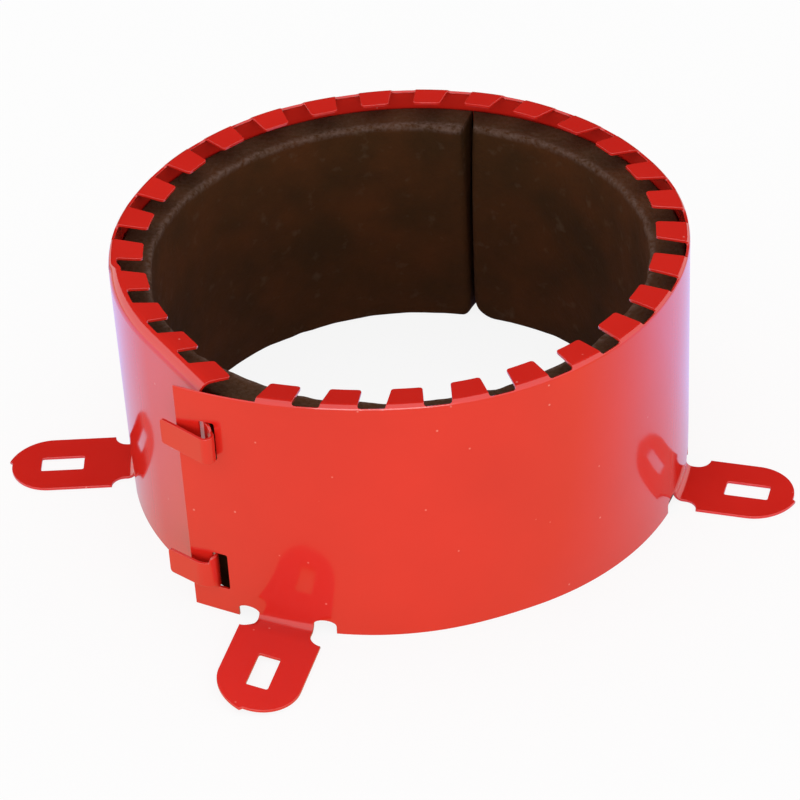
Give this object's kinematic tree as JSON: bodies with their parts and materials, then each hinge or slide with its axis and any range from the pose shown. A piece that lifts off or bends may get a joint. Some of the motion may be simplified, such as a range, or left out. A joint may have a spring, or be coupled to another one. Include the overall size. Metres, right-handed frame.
{
  "type": "pipe fire collar",
  "caption": "Round sheet-steel fire collar for a plastic pipe: a red band with a crown of folded teeth, slotted fixing lugs and a tongue closure, lined with an intumescent strip.",
  "frame": {"origin": "on the pipe's axis, in the base plane that lies against the wall or floor", "axes": "+Z along the pipe, away from the wall or floor; the closure and the front lug are on the -Y side"},
  "size_m": [0.1861, 0.1873, 0.06],
  "materials": {
    "red_coated_steel": "glossy red powder coat on thin steel sheet",
    "intumescent_strip": "matt, granular, dark brown"
  },
  "bodies": {
    "root": {"casing": "red_coated_steel", "intumescent_liner": "intumescent_strip"}
  },
  "joints": []
}
